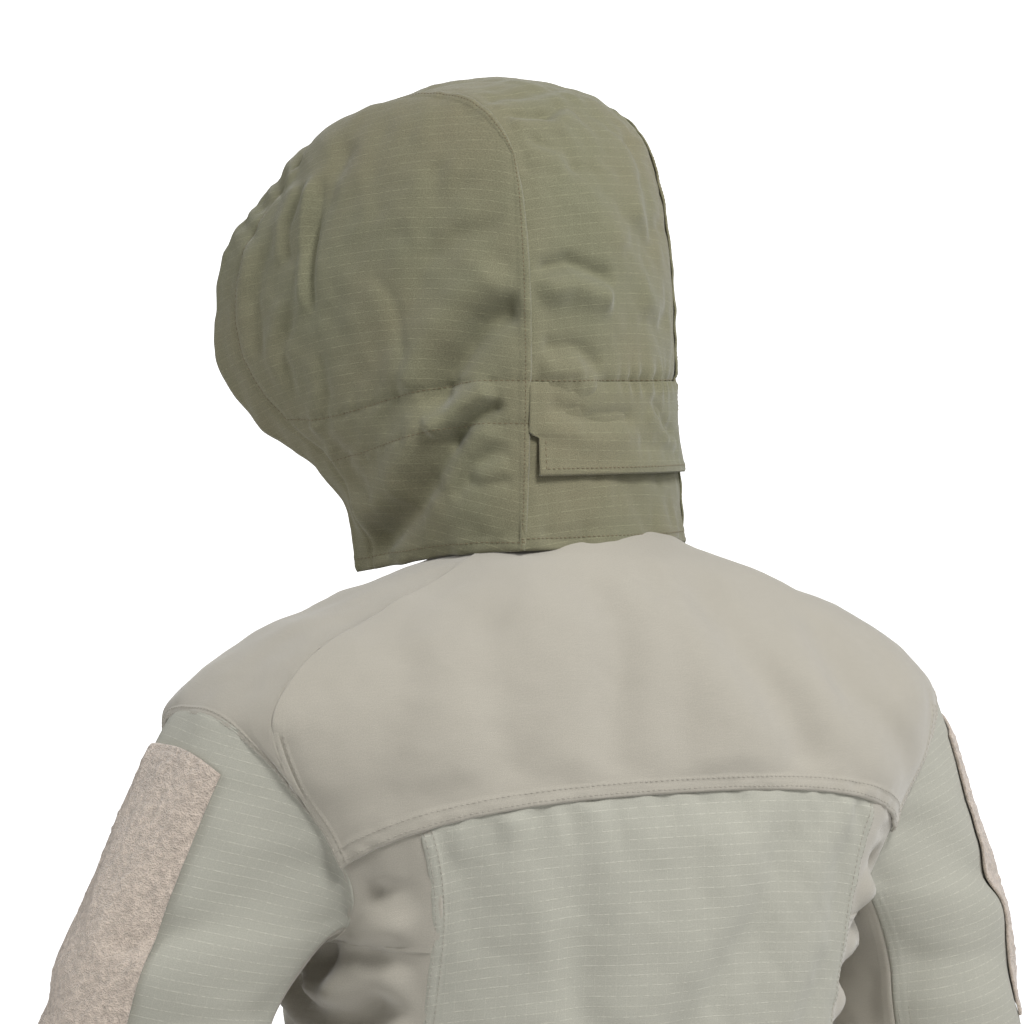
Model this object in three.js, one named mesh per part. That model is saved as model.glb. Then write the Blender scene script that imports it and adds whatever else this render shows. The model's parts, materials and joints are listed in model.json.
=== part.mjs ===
// Hooded field jacket: a jacket on the wearer's shoulders with a detachable three-panel hood,
// turned to the wearer's left. Millimetres, +Z up, the wearer faces -Y, wearer's left is +X.
// The origin is the middle of the neck opening at the base of the neck.
import * as THREE from 'three';

// ---- driving dimensions ----
const CLOTH = 2.4; // thickness of a doubled, seamed panel
const SEAM_GAP = 1.2; // clearance between neighbouring panels
const LAYER_GAP = 0.8; // clearance between a panel and a piece sewn on it

const HOOD_TURN_DEG = 20; // the hood's turn to the wearer's left
const HOOD_FULLNESS = 22; // how far a side panel swells past its sewn edges
const CROWN_BULGE = 13;
const NAPE_BULGE = 20;
const ADJUSTER_Z = 100; // height of the adjuster channel and of the flap's top edge
const FLAP_DROP = 58;
const FACING_WIDTH = 28; // of the casing round the face
const FACING = 1.4; // thickness of a single layer
const ELASTIC_WIDTH = 20;

const COLLAR_HEIGHT = 46;
const COLLAR_HALF_WIDTH = 58;
const COLLAR_HALF_DEPTH = 52;
const BUTTON_DIAMETER = 15;
const BUTTON_THICKNESS = 3;
const BUTTON_COUNT = 5;

const TORSO_LENGTH = 640; // neck base to hem
const YOKE_DEPTH = 146; // neck base down to the yoke seam, in the middle of the back
const YOKE_DIP = 38; // how much lower the seam is at the armholes
const PRINCESS_TOP = 40; // degrees from the middle of the back to the long seams, at the yoke
const PRINCESS_LOW = 54; // and from PRINCESS_DEPTH down
const PRINCESS_DEPTH = 320;
const ARMHOLE_TOP = 98;
const ARMHOLE_BOTTOM = 232;
const ARMHOLE_BACK = 62; // degrees where the armhole meets the back
const ARMHOLE_FRONT = 116;
const SIDE_SEAM = 125;
const HEM_BAND = 45;
const ZIP_HALF_ANGLE = 1; // degrees between the middle of the front and a front panel's edge

const ZIP_CHAIN = 8; // width of the closed teeth
const ZIP_TAPE = 13;
const TAPE_STAND = 2; // how far the flat tapes lie inside the rounded front
const SLIDER_DEPTH = 100; // of the closed zip's slider below the neck
const SLIDER_STAND = 5; // the slider runs straight, clear of the rounded chest
const SLIDER_THICKNESS = 4;
const PULL_THICKNESS = 2;
const SLIDER_WIDTH = 11;
const SLIDER_LENGTH = 14;
const PULL_WIDTH = 7;
const PULL_LENGTH = 34;

const SLEEVE_LENGTH = 560;
const CUFF_LENGTH = 62;
const SLEEVE_TOP_RADIUS = 71;
const SLEEVE_WRIST_RADIUS = 48;
const GUSSET_HALF_ANGLE = 42;
const PATCH_HALF_ANGLE = 34; // degrees of the sleeve either side of its outer line
const PATCH_LENGTH = 160;
const PATCH_START = 6; // along the sleeve from the armhole
const PATCH_STAND = 6; // between the straight patch and the curved sleeve
const PATCH_TURN = 14; // degrees from the sleeve's outer side towards the back
const TAB_HALF_ANGLE = 36;
const TAB_WIDTH = 32;

// ---- outlines of the left half of the hood: forward, left, up ----
const HOOD_SEAM = [
  [116, 62, 254], [80, 64, 270], [40, 66, 276], [4, 67, 269], [-18, 68, 250], [-30, 68, 220],
  [-38, 69, 175], [-41, 70, 120], [-41, 72, 60], [-42, 76, 4],
];
const SEAM_CORNER = 0.5; // where along the seam a side panel turns from the top to the back
const HOOD_FACE = [
  [116, 62, 254], [144, 72, 245], [172, 82, 212], [198, 88, 175], [206, 88, 139], [202, 86, 109],
  [178, 82, 78], [150, 80, 59], [124, 78, 45], [105, 76, 22], [95, 76, -20],
];
const HOOD_HEM = [[95, 76, -20], [55, 82, -12], [19, 86, -3], [-12, 84, 2], [-42, 76, 4]];

// ---- torso sections: depth below the neck, half width, half depth, middle's y ----
const TORSO = [
  [4, 80, 70, 0], [13, 103, 80, 2], [31, 150, 92, 5], [55, 208, 106, 8], [76, 240, 114, 10],
  [100, 258, 121, 12], [130, 250, 125.6, 15.4], [165, 226, 128.8, 17.2], [222, 194, 129.9, 16.1],
  [300, 174, 127.4, 10.6], [400, 168, 123.4, 2.7], [TORSO_LENGTH, 186, 130, 0],
];
const TORSO_SQUARENESS = 2.5; // exponent of the section's superellipse
const FRONT_NECK_DROP = 34; // how much lower the neckline is in front
const NECK_DROP_START = -0.15; // how far round the neckline starts to drop, -1 back, 1 front
const NECK_DROP_END = 0.7;
const NECK_DROP_FADE = 90; // depth over which that evens out

// ---- the left sleeve's centre line, from the armhole to the wrist ----
const SLEEVE_LINE = [
  [234, 10, -166], [256, 8, -228], [278, 2, -302], [298, -8, -400], [312, -34, -520], [320, -64, -640],
];

// ---- colours ----
const OLIVE = 0x777a5e;
const SAGE = 0xb0b2a6;
const SAND = 0xb2ada0;
const TAN = 0xbeafa0;
const DARK = 0x4c4d40;

const group = new THREE.Group();

function add(name, geometry, color, roughness = 0.9, metalness = 0) {
  const material = new THREE.MeshStandardMaterial({ color, roughness, metalness });
  const mesh = new THREE.Mesh(geometry, material);
  mesh.name = name;
  group.add(mesh);
  return mesh;
}

const lerp = (a, b, t) => a + (b - a) * t;
const radians = (degrees) => THREE.MathUtils.degToRad(degrees);
const curveThrough = (points) => new THREE.CatmullRomCurve3(
  points.map((p) => new THREE.Vector3(...p)), false, 'centripetal');

// A closed solid between a surface moved out by `low` and by `high`. surface(u, v) gives a point,
// u and v run from 0 to 1, and the outside is where d/du x d/dv points when side is 1.
function layer(surface, nu, nv, low, high, side = 1) {
  const step = 1e-3;
  const at = (u, v, out) => {
    const p = surface(u, v);
    const du = surface(Math.min(1, u + step), v).sub(surface(Math.max(0, u - step), v));
    const dv = surface(u, Math.min(1, v + step)).sub(surface(u, Math.max(0, v - step)));
    return p.add(du.cross(dv).normalize().multiplyScalar(out * side));
  };
  const points = [];
  for (const out of [low, high]) {
    for (let i = 0; i <= nu; i += 1) {
      for (let j = 0; j <= nv; j += 1) points.push(at(i / nu, j / nv, out));
    }
  }
  const skin = (nu + 1) * (nv + 1);
  const id = (i, j, k) => k * skin + i * (nv + 1) + j;
  const faces = [];
  const quad = (a, b, c, d) => {
    if (side > 0) faces.push(a, b, c, a, c, d);
    else faces.push(a, c, b, a, d, c);
  };
  for (let i = 0; i < nu; i += 1) {
    for (let j = 0; j < nv; j += 1) {
      quad(id(i, j, 1), id(i + 1, j, 1), id(i + 1, j + 1, 1), id(i, j + 1, 1));
      quad(id(i, j, 0), id(i, j + 1, 0), id(i + 1, j + 1, 0), id(i + 1, j, 0));
    }
    quad(id(i, 0, 0), id(i + 1, 0, 0), id(i + 1, 0, 1), id(i, 0, 1));
    quad(id(i, nv, 0), id(i, nv, 1), id(i + 1, nv, 1), id(i + 1, nv, 0));
  }
  for (let j = 0; j < nv; j += 1) {
    quad(id(0, j, 0), id(0, j, 1), id(0, j + 1, 1), id(0, j + 1, 0));
    quad(id(nu, j, 0), id(nu, j + 1, 0), id(nu, j + 1, 1), id(nu, j, 1));
  }
  const geometry = new THREE.BufferGeometry();
  geometry.setAttribute('position', new THREE.Float32BufferAttribute(
    points.flatMap((p) => p.toArray()), 3));
  geometry.setIndex(faces);
  return geometry;
}

// ---- hood ----
const seamCurve = curveThrough(HOOD_SEAM);
const faceCurve = curveThrough(HOOD_FACE);
const hemCurve = curveThrough(HOOD_HEM);
const turn = radians(HOOD_TURN_DEG);

// From the hood's own forward, left and up to the jacket's x, y and z.
function hoodPlace(forward, left, up) {
  const x = left * Math.cos(turn) + forward * Math.sin(turn);
  const y = left * Math.sin(turn) - forward * Math.cos(turn);
  return new THREE.Vector3(x, y, up);
}

// A side panel: a is 0 at the face and 1 at the back, b is 0 at the crown and 1 at the hem.
function sideLocal(a, b) {
  const top = seamCurve.getPoint(a * SEAM_CORNER);
  const back = seamCurve.getPoint(lerp(SEAM_CORNER, 1, b));
  const face = faceCurve.getPoint(b);
  const hem = hemCurve.getPoint(a);
  const corners = [faceCurve.getPoint(0), seamCurve.getPoint(SEAM_CORNER),
    faceCurve.getPoint(1), seamCurve.getPoint(1)];
  const p = new THREE.Vector3();
  p.addScaledVector(top, 1 - b).addScaledVector(hem, b);
  p.addScaledVector(face, 1 - a).addScaledVector(back, a);
  p.addScaledVector(corners[0], -(1 - a) * (1 - b)).addScaledVector(corners[1], -a * (1 - b));
  p.addScaledVector(corners[2], -(1 - a) * b).addScaledVector(corners[3], -a * b);
  p.y += HOOD_FULLNESS * (16 * a * (1 - a) * b * (1 - b)) ** 0.8;
  return p;
}

// The side panels stand clear of the seam line, so that they don't meet the centre panel.
function sidePanel(sign, faceShare = 1) {
  const inset = 0.02;
  return (u, v) => {
    const p = sideLocal(lerp(0, 1 - inset, u * faceShare), lerp(inset, 1, v));
    return hoodPlace(p.x, sign * (p.y + SEAM_GAP), p.z);
  };
}

// The centre panel: t runs from the brow over the crown to the nape, s across, -1 to 1.
function centreLocal(t, s, out = 0) {
  const p = seamCurve.getPoint(t);
  const along = seamCurve.getTangent(t);
  const bulge = lerp(CROWN_BULGE, NAPE_BULGE, THREE.MathUtils.smoothstep(t, 0.3, 0.8));
  const rise = bulge * (1 - s * s) + out;
  const outward = new THREE.Vector3(along.z, 0, -along.x).normalize();
  return new THREE.Vector3(p.x + outward.x * rise, s * p.y, p.z + outward.z * rise);
}

function centrePanel(tLow, tHigh, sLow, sHigh, out = 0) {
  return (u, v) => {
    const p = centreLocal(lerp(tLow, tHigh, v), lerp(sLow, sHigh, u), out);
    return hoodPlace(p.x, p.y, p.z);
  };
}

// The share of the seam at which the centre panel's back comes down to a height.
function seamAtHeight(height) {
  let low = SEAM_CORNER;
  let high = 1;
  for (let i = 0; i < 40; i += 1) {
    const middle = (low + high) / 2;
    if (seamCurve.getPoint(middle).z > height) low = middle;
    else high = middle;
  }
  return low;
}

function addHood() {
  add('hood_centre_panel', layer(centrePanel(0.004, 1, -0.985, 0.985), 8, 20, 0, CLOTH), OLIVE);
  add('hood_left_panel', layer(sidePanel(1), 12, 14, 0, CLOTH, -1), OLIVE);
  add('hood_right_panel', layer(sidePanel(-1), 12, 14, 0, CLOTH, 1), OLIVE);

  // The casing round the face is faced with a strip on the inside.
  const inside = [-LAYER_GAP - FACING, -LAYER_GAP];
  const share = FACING_WIDTH / (HOOD_FACE[0][0] - HOOD_SEAM.at(-1)[0]);
  add('face_facing_left', layer(sidePanel(1, share), 1, 14, ...inside, -1), OLIVE);
  add('face_facing_right', layer(sidePanel(-1, share), 1, 14, ...inside, 1), OLIVE);
  const browEnd = FACING_WIDTH / seamCurve.getLength();
  add('face_facing_brow', layer(centrePanel(0.004, browEnd * 1.4, -0.9, 0.9), 6, 1, ...inside), OLIVE);

  const flapTop = seamAtHeight(ADJUSTER_Z);
  const flapBottom = seamAtHeight(ADJUSTER_Z - FLAP_DROP);
  const flapLow = CLOTH + LAYER_GAP;
  add('hood_rear_flap',
    layer(centrePanel(flapTop, flapBottom, -0.93, 0.93), 8, 4, flapLow, flapLow + CLOTH), OLIVE);

  const bandTop = seamAtHeight(ADJUSTER_Z - 2);
  const bandBottom = seamAtHeight(ADJUSTER_Z - 2 - ELASTIC_WIDTH);
  add('hood_elastic_band',
    layer(centrePanel(bandTop, bandBottom, -0.9, 0.9), 8, 2, ...inside),
    DARK);
}

// ---- torso ----
function sectionCurve(column) {
  const points = TORSO.map((row) => new THREE.Vector3(row[0], row[column], 0));
  return new THREE.CatmullRomCurve3(points, false, 'centripetal');
}

const sections = [1, 2, 3].map(sectionCurve);

// Half width, half depth or middle of the torso's section at a depth below the neck.
function torsoSize(k, depth) {
  const last = TORSO.length - 1;
  let i = 0;
  while (i < last - 1 && TORSO[i + 1][0] < depth) i += 1;
  let low = i / last;
  let high = (i + 1) / last;
  for (let n = 0; n < 24; n += 1) {
    const middle = (low + high) / 2;
    if (sections[k].getPoint(middle).x < depth) low = middle;
    else high = middle;
  }
  return sections[k].getPoint(low).y;
}

// A point on the torso: angle in degrees from the middle of the back, positive to the left.
function torsoPoint(angle, depth) {
  const c = Math.cos(radians(angle));
  const s = Math.sin(radians(angle));
  const power = 2 / TORSO_SQUARENESS;
  const x = torsoSize(0, depth) * Math.sign(s) * Math.abs(s) ** power;
  const y = torsoSize(1, depth) * Math.sign(c) * Math.abs(c) ** power;
  const front = THREE.MathUtils.smoothstep(-c, NECK_DROP_START, NECK_DROP_END);
  const drop = FRONT_NECK_DROP * Math.exp(-((depth / NECK_DROP_FADE) ** 2)) * front;
  return new THREE.Vector3(x, y + torsoSize(2, depth), -depth - drop);
}

// A panel between two angles and two depths. Each may be a function: an angle of the depth, or a
// depth of the angle.
function torsoPanel(angleLow, angleHigh, depthLow, depthHigh) {
  const value = (limit, x) => (typeof limit === 'function' ? limit(x) : limit);
  return (u, v) => {
    const middle = YOKE_DEPTH + YOKE_DIP;
    const near = lerp(value(angleLow, middle), value(angleHigh, middle), u);
    const depth = lerp(value(depthLow, near), value(depthHigh, near), v);
    return torsoPoint(lerp(value(angleLow, depth), value(angleHigh, depth), u), depth);
  };
}

const yokeSeam = (angle) => YOKE_DEPTH + YOKE_DIP * (angle / ARMHOLE_BACK) ** 2;
const princess = (depth) => lerp(
  PRINCESS_TOP, PRINCESS_LOW, THREE.MathUtils.smoothstep(depth, YOKE_DEPTH, PRINCESS_DEPTH));

const neckline = TORSO[0][0];
const hemTop = TORSO_LENGTH - HEM_BAND;

function addTorso() {
  const gap = 1.1; // degrees: clears the thickness of both panels where the torso is hollow
  const yokeEnd = (angle) => yokeSeam(angle) - SEAM_GAP;
  const wall = (angles, depths, nu, nv) => layer(
    torsoPanel(...angles, ...depths), nu, nv, 0, CLOTH);

  add('back_yoke', wall([-ARMHOLE_BACK, ARMHOLE_BACK], [neckline, yokeEnd], 14, 8), SAND);
  add('centre_back_panel',
    wall([(d) => -princess(d), princess], [yokeSeam, hemTop - SEAM_GAP], 12, 10), SAGE);
  for (const [side, sign] of [['left', 1], ['right', -1]]) {
    // The same panel on either side: its angles change sign and swap places.
    const mirrored = (limit) => (typeof limit === 'function' ? (d) => -limit(d) : -limit);
    const strip = (low, high, depths, nu, nv) => (sign > 0
      ? wall([low, high], depths, nu, nv)
      : wall([mirrored(high), mirrored(low)], depths, nu, nv));
    const beside = (depth) => princess(depth) + gap;
    add(`shoulder_panel_${side}`,
      strip(ARMHOLE_BACK + gap, ARMHOLE_FRONT - gap, [neckline, ARMHOLE_TOP], 6, 6), SAND);
    add(`back_armhole_panel_${side}`,
      strip(beside, ARMHOLE_BACK, [yokeSeam, ARMHOLE_BOTTOM - SEAM_GAP], 3, 3), SAND);
    add(`side_panel_${side}`,
      strip(beside, SIDE_SEAM, [ARMHOLE_BOTTOM, hemTop - SEAM_GAP], 8, 10), SAND);
    add(`front_panel_${side}`,
      strip(SIDE_SEAM + gap, 180 - ZIP_HALF_ANGLE, [ARMHOLE_BOTTOM, hemTop - SEAM_GAP], 6, 10), SAGE);
    add(`front_yoke_${side}`,
      strip(ARMHOLE_FRONT, 180 - ZIP_HALF_ANGLE, [neckline, ARMHOLE_BOTTOM - SEAM_GAP], 6, 10), SAND);
    add(`hem_band_${side}`,
      strip(gap, 180 - ZIP_HALF_ANGLE, [hemTop, TORSO_LENGTH], 18, 2), SAGE);
  }
}

// ---- zip ----
function addZip() {
  const top = neckline + 20;
  const length = TORSO_LENGTH - 12 - top;
  const frontAt = (depth, x, out) => {
    const p = torsoPoint(180, depth);
    return new THREE.Vector3(x, p.y - out, p.z);
  };
  const strip = (xLow, xHigh, low, high, from, to, nv) => layer(
    (u, v) => frontAt(lerp(from, to, v), lerp(xHigh, xLow, u), 0), 1, nv, low, high);
  add('zip_chain', strip(-ZIP_CHAIN / 2, ZIP_CHAIN / 2, 0, CLOTH, top, top + length, 14), DARK, 0.4);
  for (const [side, sign] of [['left', 1], ['right', -1]]) {
    const inner = sign * (ZIP_CHAIN / 2 + 3);
    const outer = sign * (ZIP_CHAIN / 2 + ZIP_TAPE);
    const ends = [Math.min(inner, outer), Math.max(inner, outer)];
    add(`zip_tape_${side}`,
      strip(ends[0], ends[1], -TAPE_STAND - 1.4, -TAPE_STAND, top, top + length, 14), SAND);
  }
  const slider = [SLIDER_STAND, SLIDER_STAND + SLIDER_THICKNESS];
  const pull = [slider[1] + LAYER_GAP, slider[1] + LAYER_GAP + PULL_THICKNESS];
  add('zip_slider', strip(-SLIDER_WIDTH / 2, SLIDER_WIDTH / 2, ...slider,
    SLIDER_DEPTH, SLIDER_DEPTH + SLIDER_LENGTH, 1), DARK, 0.35, 0.8);
  const pullTop = SLIDER_DEPTH + SLIDER_LENGTH / 2;
  add('zip_pull', strip(-PULL_WIDTH / 2, PULL_WIDTH / 2, ...pull, pullTop, pullTop + PULL_LENGTH, 1),
    DARK, 0.35, 0.8);
}

// ---- collar with the buttons that hold the hood ----
function collarPoint(angle, up, out = 0) {
  const s = Math.sin(radians(angle));
  const c = Math.cos(radians(angle));
  return new THREE.Vector3((COLLAR_HALF_WIDTH + out) * s, (COLLAR_HALF_DEPTH + out) * c - 6, up);
}

function addCollar() {
  const half = 180 - 2 * ZIP_HALF_ANGLE;
  const surface = (u, v) => collarPoint(lerp(-half, half, u), lerp(COLLAR_HEIGHT, -4, v));
  add('stand_collar', layer(surface, 24, 3, 0, CLOTH), SAND);
  const spread = 116;
  for (let i = 0; i < BUTTON_COUNT; i += 1) {
    const angle = lerp(-spread, spread, i / (BUTTON_COUNT - 1));
    const button = new THREE.CylinderGeometry(
      BUTTON_DIAMETER / 2, BUTTON_DIAMETER / 2, BUTTON_THICKNESS, 16);
    const out = CLOTH + LAYER_GAP + BUTTON_THICKNESS / 2;
    const mesh = add(`collar_button_${i + 1}`, button, DARK, 0.5);
    mesh.position.copy(collarPoint(angle, COLLAR_HEIGHT - BUTTON_DIAMETER, out));
    const normal = new THREE.Vector3(
      Math.sin(radians(angle)) / COLLAR_HALF_WIDTH, Math.cos(radians(angle)) / COLLAR_HALF_DEPTH, 0);
    mesh.quaternion.setFromUnitVectors(new THREE.Vector3(0, 1, 0), normal.normalize());
  }
}

// ---- sleeves ----
const sleeveCurve = curveThrough(SLEEVE_LINE);
const sleeveScale = SLEEVE_LENGTH / sleeveCurve.getLength();

// A point on the left sleeve: angle in degrees from its outer side towards the back.
function sleevePoint(angle, along, out = 0) {
  const share = THREE.MathUtils.clamp(along / SLEEVE_LENGTH, 0, 1);
  const start = sleeveCurve.getPoint(0);
  const centre = sleeveCurve.getPointAt(share).sub(start).multiplyScalar(sleeveScale).add(start);
  const tangent = sleeveCurve.getTangentAt(share);
  // The armhole's plane leans out over the shoulder, and the wrist's is square to the arm.
  const lean = 1 - THREE.MathUtils.smoothstep(along, 0, 150);
  const axis = new THREE.Vector3(1.25, 0, -0.1).multiplyScalar(lean).add(tangent).normalize();
  const back = new THREE.Vector3(0, 1, 0);
  const outer = back.clone().cross(axis).negate().normalize();
  const depth = outer.clone().cross(axis).normalize();
  const radius = lerp(SLEEVE_TOP_RADIUS, SLEEVE_WRIST_RADIUS, share) + out;
  const c = Math.cos(radians(angle)) * radius;
  const s = Math.sin(radians(angle)) * radius * 0.94;
  return centre.addScaledVector(outer, c).addScaledVector(depth, s);
}

function sleeveWall(sign, angles, along, nu, nv, low, high) {
  const surface = (u, v) => {
    const p = sleevePoint(lerp(angles[0], angles[1], u), lerp(along[0], along[1], v));
    return new THREE.Vector3(sign * p.x, p.y, p.z);
  };
  return layer(surface, nu, nv, low, high, -sign);
}

// The loop patch is bent round the sleeve in flat facets, and straight along it.
function addPatch(side, sign) {
  const middle = PATCH_START + PATCH_LENGTH / 2;
  const along = sleeveCurve.getTangentAt(middle / SLEEVE_LENGTH);
  const surface = (u, v) => {
    const angle = PATCH_TURN + lerp(-PATCH_HALF_ANGLE, PATCH_HALF_ANGLE, u);
    const p = sleevePoint(angle, middle);
    p.addScaledVector(along, (v - 0.5) * PATCH_LENGTH);
    return new THREE.Vector3(sign * p.x, p.y, p.z);
  };
  add(`loop_patch_${side}`, layer(surface, 5, 1, PATCH_STAND, PATCH_STAND + CLOTH, -sign), TAN);
}

function addSleeve(side, sign) {
  const gap = 1; // degrees, about SEAM_GAP on a sleeve
  const end = SLEEVE_LENGTH - CUFF_LENGTH;
  const under = [180 - GUSSET_HALF_ANGLE, 180 + GUSSET_HALF_ANGLE];
  const outer = [under[1] + gap - 360, under[0] - gap];
  add(`sleeve_${side}`, sleeveWall(sign, outer, [0, end - SEAM_GAP], 16, 14, 0, CLOTH), SAGE);
  add(`underarm_gusset_${side}`, sleeveWall(sign, under, [0, end - SEAM_GAP], 5, 14, 0, CLOTH), SAND);
  add(`cuff_${side}`, sleeveWall(sign, [-179, 179], [end, SLEEVE_LENGTH], 20, 2, 0, CLOTH), SAGE);
  const tabAngles = [-TAB_HALF_ANGLE, TAB_HALF_ANGLE];
  const tabStart = end + (CUFF_LENGTH - TAB_WIDTH) / 2;
  const tabAlong = [tabStart, tabStart + TAB_WIDTH];
  const low = CLOTH + 2 * LAYER_GAP;
  add(`cuff_tab_${side}`, sleeveWall(sign, tabAngles, tabAlong, 6, 1, low, low + CLOTH), SAGE);
  addPatch(side, sign);
}

addHood();
addTorso();
addZip();
addCollar();
addSleeve('left', 1);
addSleeve('right', -1);

export default group;
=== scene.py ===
"""The looks of the hooded field jacket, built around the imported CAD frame.

Lengths in this file are millimetres until a mesh is made, which is in metres. The hood's own
directions are forward, left and up; the jacket faces -Y with the wearer's left at +X.
"""
import json
import math

import bpy
import numpy as np
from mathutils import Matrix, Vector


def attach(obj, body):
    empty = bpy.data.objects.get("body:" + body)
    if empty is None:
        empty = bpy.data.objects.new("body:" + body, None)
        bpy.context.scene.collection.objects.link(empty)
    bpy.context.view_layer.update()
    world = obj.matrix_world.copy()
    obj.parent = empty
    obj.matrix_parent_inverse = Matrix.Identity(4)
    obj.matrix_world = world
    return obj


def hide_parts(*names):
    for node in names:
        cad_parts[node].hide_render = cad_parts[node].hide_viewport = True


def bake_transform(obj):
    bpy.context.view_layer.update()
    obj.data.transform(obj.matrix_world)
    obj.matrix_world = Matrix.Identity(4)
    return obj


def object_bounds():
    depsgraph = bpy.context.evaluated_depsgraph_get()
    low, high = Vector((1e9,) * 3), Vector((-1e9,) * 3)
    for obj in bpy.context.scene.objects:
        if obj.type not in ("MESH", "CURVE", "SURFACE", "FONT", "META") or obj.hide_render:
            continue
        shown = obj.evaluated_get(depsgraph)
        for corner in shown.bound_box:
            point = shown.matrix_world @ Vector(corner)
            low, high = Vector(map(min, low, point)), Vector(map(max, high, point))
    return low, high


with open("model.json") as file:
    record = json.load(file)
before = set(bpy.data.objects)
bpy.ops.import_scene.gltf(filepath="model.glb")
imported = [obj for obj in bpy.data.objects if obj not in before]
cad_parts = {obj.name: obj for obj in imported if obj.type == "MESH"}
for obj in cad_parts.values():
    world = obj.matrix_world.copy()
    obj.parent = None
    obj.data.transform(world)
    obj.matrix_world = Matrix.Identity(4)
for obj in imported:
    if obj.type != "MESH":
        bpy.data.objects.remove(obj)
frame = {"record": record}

CAD_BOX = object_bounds()
MM = 0.001
FINE = 2.0  # the cloth's usual mesh spacing

# ---- sizes shared with the CAD frame ----
HOOD_TURN = math.radians(20)
HOOD_FULLNESS = 22
CROWN_BULGE = 13
NAPE_BULGE = 20
ADJUSTER_Z = 100
FLAP_DROP = 58
HOOD_SEAM = [
    [116, 62, 254], [80, 64, 270], [40, 66, 276], [4, 67, 269], [-18, 68, 250], [-30, 68, 220],
    [-38, 69, 175], [-41, 70, 120], [-41, 72, 60], [-43, 77, -3],
]
SEAM_CORNER = 0.5
HOOD_FACE = [
    [116, 62, 254], [144, 72, 245], [172, 82, 212], [198, 88, 175], [206, 88, 139],
    [202, 86, 109], [178, 82, 78], [150, 80, 59], [124, 78, 45], [105, 76, 22], [95, 76, -20],
]
HOOD_HEM = [[95, 76, -20], [55, 83, -14], [19, 87, -8], [-12, 85, -4], [-43, 77, -3]]
TORSO_LENGTH = 640
NECK_TOP = -9  # the cloth goes on up a little way into the hood
TORSO = [
    [NECK_TOP, 62, 55, -6],
    [4, 80, 70, 0], [13, 103, 80, 2], [31, 150, 92, 5], [55, 208, 106, 8], [76, 240, 114, 10],
    [100, 258, 121, 12], [130, 250, 125.6, 15.4], [165, 226, 128.8, 17.2], [222, 194, 129.9, 16.1],
    [300, 174, 127.4, 10.6], [400, 168, 123.4, 2.7], [TORSO_LENGTH, 186, 130, 0],
]
TORSO_POWER = 2 / 2.5
FRONT_NECK_DROP, NECK_DROP_FADE = 34, 90
NECK_DROP_START, NECK_DROP_END = -0.15, 0.7
YOKE_DEPTH, YOKE_DIP = 146, 38
PRINCESS_TOP, PRINCESS_LOW, PRINCESS_DEPTH = 40, 54, 320
ARMHOLE_TOP, ARMHOLE_BOTTOM, ARMHOLE_BACK, ARMHOLE_FRONT = 98, 232, 62, 116
SIDE_SEAM = 125
HEM_BAND = 45
ZIP_HALF_ANGLE = 1
NECKLINE = 4  # depth of the neck's edge below the origin
ARMHOLE_SQUARENESS = 2.6
ARMHOLE_ANGLE, ARMHOLE_WIDE = (ARMHOLE_BACK + ARMHOLE_FRONT) / 2, (ARMHOLE_FRONT - ARMHOLE_BACK) / 2
ARMHOLE_DEPTH, ARMHOLE_HIGH = (ARMHOLE_TOP + ARMHOLE_BOTTOM) / 2, (ARMHOLE_BOTTOM - ARMHOLE_TOP) / 2
HEM_TOP = TORSO_LENGTH - HEM_BAND
SLEEVE_LENGTH, CUFF_LENGTH = 560, 62
SLEEVE_TOP_RADIUS, SLEEVE_WRIST_RADIUS = 71, 48
GUSSET_HALF_ANGLE = 42
SLEEVE_FLATNESS = 0.94
SLEEVE_HEAD = 90  # how far the sleeve's shape goes from the armhole's to a tube
PATCH_HALF_ANGLE, PATCH_LENGTH, PATCH_START, PATCH_STAND = 34, 160, 6, 6
PATCH_TURN = 14
PATCH_LIFT = 3.4  # the middle of the pile above the sleeve
PATCH_WIDTH = 78
TAB_HALF_ANGLE, TAB_WIDTH = 36, 32
SLEEVE_LINE = [
    [234, 10, -166], [256, 8, -228], [278, 2, -302], [298, -8, -400], [312, -34, -520],
    [320, -64, -640],
]
COLLAR_HEIGHT, COLLAR_HALF_WIDTH, COLLAR_HALF_DEPTH = 46, 58, 52
CLOTH = 1.1  # visual thickness of the cloth
SEAM_LAP = 7  # how far a panel runs on under the one sewn over it
UNDER_HEM = HEM_TOP + SEAM_LAP
SIDES = (("left", 1), ("right", -1))


# ---- small numeric helpers ----
def smooth(x, low=0.0, high=1.0):
    t = np.clip((np.asarray(x, float) - low) / (high - low), 0, 1)
    return t * t * (3 - 2 * t)


def bell(x, width):
    return np.exp(-((np.asarray(x, float) / width) ** 2))


def unit(v):
    return v / np.maximum(np.linalg.norm(v, axis=-1, keepdims=True), 1e-9)


def interpolate(s, places, points):
    return np.stack([np.interp(s, places, c) for c in points.T], axis=-1)


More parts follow.
